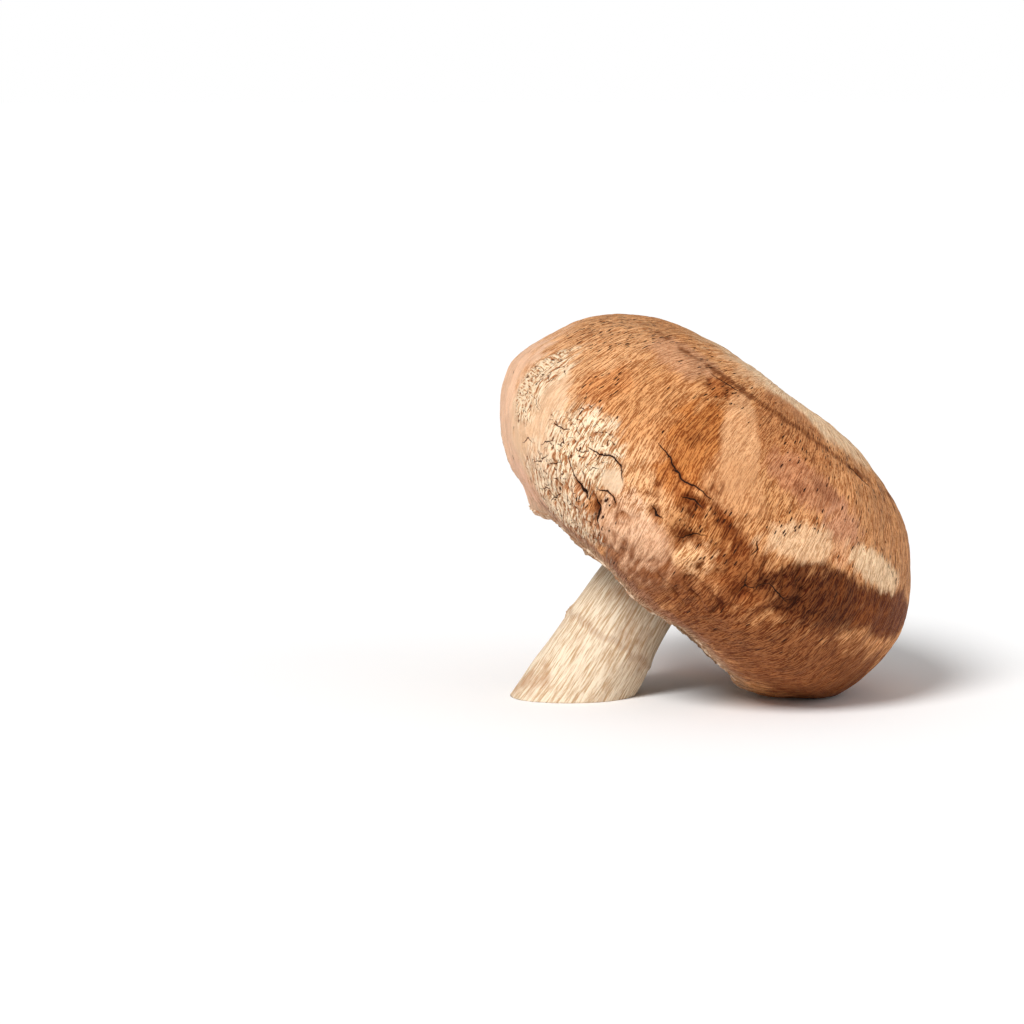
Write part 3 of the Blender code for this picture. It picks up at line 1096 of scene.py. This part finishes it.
def cut_flat(mesh):
    """Cuts the mesh off at z = 0 and closes it there."""
    bm = bmesh.new()
    bm.from_mesh(mesh)
    everything = bm.verts[:] + bm.edges[:] + bm.faces[:]
    plane = {"plane_co": (0, 0, 0), "plane_no": (0, 0, -1)}
    bmesh.ops.bisect_plane(bm, geom=everything, clear_outer=True, **plane)
    rim = [e for e in bm.edges if e.is_boundary and max(v.co.z for v in e.verts) < 0.1 * MM]
    bmesh.ops.contextual_create(bm, geom=rim)
    for face in bm.faces:
        face.smooth = face.normal.z > -0.999
    bm.to_mesh(mesh)
    bm.free()


def stem_material():
    """Pale fibres along the stem, with brown clouds and a darker line under the ring."""
    g = Graph("stem")
    place = g.add("TexCoord", {}, "Object")
    fibres = g.noise(g.stretch(g.attribute("around", "Vector"), (2.2, 2.2, 0.16)), detail=4, roughness=0.66)
    cloud = g.noise(place, 90, 3, 0.6)
    colour = g.mix(g.ramp(fibres, 0.36, 0.60), srgb(190, 156, 120), srgb(236, 218, 192))
    colour = g.mix(g.ramp(cloud, 0.50, 0.72, 0.0, 0.6), colour, srgb(168, 118, 78))
    by_ring = g.ramp(g.math("ABSOLUTE", g.attribute("below")), 0.2, 1.6, 0.35, 0.0)
    return g.finish(
        Base_Color=g.mix(by_ring, colour, srgb(150, 104, 70)),
        Roughness=0.72,
        Normal=g.bump(fibres, 0.25 * MM),
        Subsurface_Weight=0.08,
        Subsurface_Radius=(1.0, 0.6, 0.4),
        Subsurface_Scale=0.002,
        Specular_IOR_Level=0.15,
    )


# ---- veil

VEIL_COLUMNS = 900
VEIL_WALL = 0.16  # mm
VEIL_LONGEST = 2.0  # mm
VEIL_SHORTEST = 0.35  # mm
VEIL_SHARES = [0.0, 0.35, 0.7, 1.0]  # of its length, where it has a ring of points


def veil():
    """What is left of the veil: a thin torn frill along the margin's lip, with an outer and an inner face."""
    angle = full_turn(VEIL_COLUMNS)
    ring = round_axis(MARGIN_RADIUS / MM - 0.5, angle, 0)
    torn = 0.42 + 0.45 * rough_noise(ring / 3.0, 100, 4)
    length = np.clip(VEIL_LONGEST * torn, VEIL_SHORTEST, VEIL_LONGEST)
    flare = 0.5 + 0.6 * noise(ring / 6, 104) + 0.40 * noise(ring / 1.3, 105)
    outside = [(share, 1) for share in VEIL_SHARES]
    inside = [(share, -1) for share in reversed(VEIL_SHARES)]
    rings = []
    for share, side in outside + inside:
        out = share * flare * length * 0.5 - 0.6 + side * VEIL_WALL * (1 - 0.7 * share) / 2
        radius = MARGIN_RADIUS + out * MM
        height = -MARGIN - (share * length * 0.85 - 0.4) * MM
        rings.append(round_axis(radius, angle, height))
    faces = ring_faces(len(rings), VEIL_COLUMNS, closed=True)
    return mesh_of("veil", settled(from_axis(np.vstack(rings))), faces, veil_material())


def veil_material():
    """Cream, browned in clouds and specks."""
    g = Graph("veil")
    place = g.add("TexCoord", {}, "Object")
    cloud = g.noise(place, 260, 3, 0.6)
    fine = g.noise(place, 1400, 2, 0.6)
    colour = g.mix(g.ramp(cloud, 0.42, 0.62), srgb(168, 122, 88), srgb(238, 216, 188))
    colour = g.mix(g.ramp(fine, 0.5, 0.7, 0.0, 0.4), colour, srgb(140, 92, 62))
    return g.finish(
        Base_Color=colour,
        Roughness=0.8,
        Normal=g.bump(fine, 0.1 * MM),
        Specular_IOR_Level=0.3,
    )


# ---- stage, light and camera

FLOOR_RADIUS = 6.0
FLOOR_DROP = 0.05 * MM  # keeps the floor off the faces that rest on it
WORLD_LIGHT = 0.40
KEY = {"towards": (0.45, 0.72, -0.80), "strength": 2.85, "softness": 22}
FILL = {"towards": (-0.9, 0.5, -0.4), "strength": 0.35, "softness": 60}
CAMERA_AT = 1.1  # metres from what it looks at
CAMERA_ABOVE = math.radians(7.2)
CAMERA_LENS = 144.6
LOOK_AT = Vector((-0.0515, 0.0, 0.0484))


def floor():
    material = Graph("floor").finish(Base_Color=(1.0, 1.0, 1.0), Roughness=0.9)
    rim = round_axis(FLOOR_RADIUS, full_turn(96), -FLOOR_DROP)
    add_object("floor", mesh_of("floor", rim, [list(range(96))], material))


def facing(direction):
    """The rotation of a lamp or camera that looks along a direction."""
    return Vector(direction).to_track_quat("-Z", "Y").to_euler()


def sun(name, towards, strength, softness):
    """A far light, so that the floor is as bright at its far edge as in front."""
    data = bpy.data.lights.new(name, "SUN")
    data.energy = strength
    data.angle = math.radians(softness)
    add_object(name, data).rotation_euler = facing(towards)


def studio():
    """White all round for the camera, dimmer as a light, with a soft key from the upper left."""
    world = bpy.data.worlds.new("studio")
    world.use_nodes = True
    bpy.context.scene.world = world
    nodes, links = world.node_tree.nodes, world.node_tree.links
    background = nodes["Background"]
    rays = nodes.new("ShaderNodeLightPath")
    level = nodes.new("ShaderNodeMapRange")
    level.inputs["To Min"].default_value = WORLD_LIGHT
    level.inputs["To Max"].default_value = 1.0
    links.new(rays.outputs["Is Camera Ray"], level.inputs["Value"])
    links.new(level.outputs["Result"], background.inputs["Strength"])
    background.inputs["Color"].default_value = (1, 1, 1, 1)
    sun("key", **KEY)
    sun("fill", **FILL)
    bpy.context.scene.view_settings.view_transform = "Standard"


def camera():
    """The mushroom stands right of the middle, seen a little from above along +Y."""
    data = bpy.data.cameras.new("camera")
    data.lens = CAMERA_LENS
    data.sensor_width = 36.0
    data.clip_start = 0.01
    data.dof.use_dof = False
    eye = add_object("camera", data)
    back = Vector((0.0, -math.cos(CAMERA_ABOVE), math.sin(CAMERA_ABOVE)))
    eye.location = LOOK_AT + CAMERA_AT * back
    eye.rotation_euler = facing(-back)
    bpy.context.scene.camera = eye


skin = add_piece("cap_skin", Skin().build())
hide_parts("mushroom")
add_piece("gills", gills())
add_piece("stem", stem())
add_piece("veil", veil())
floor()
studio()
camera()
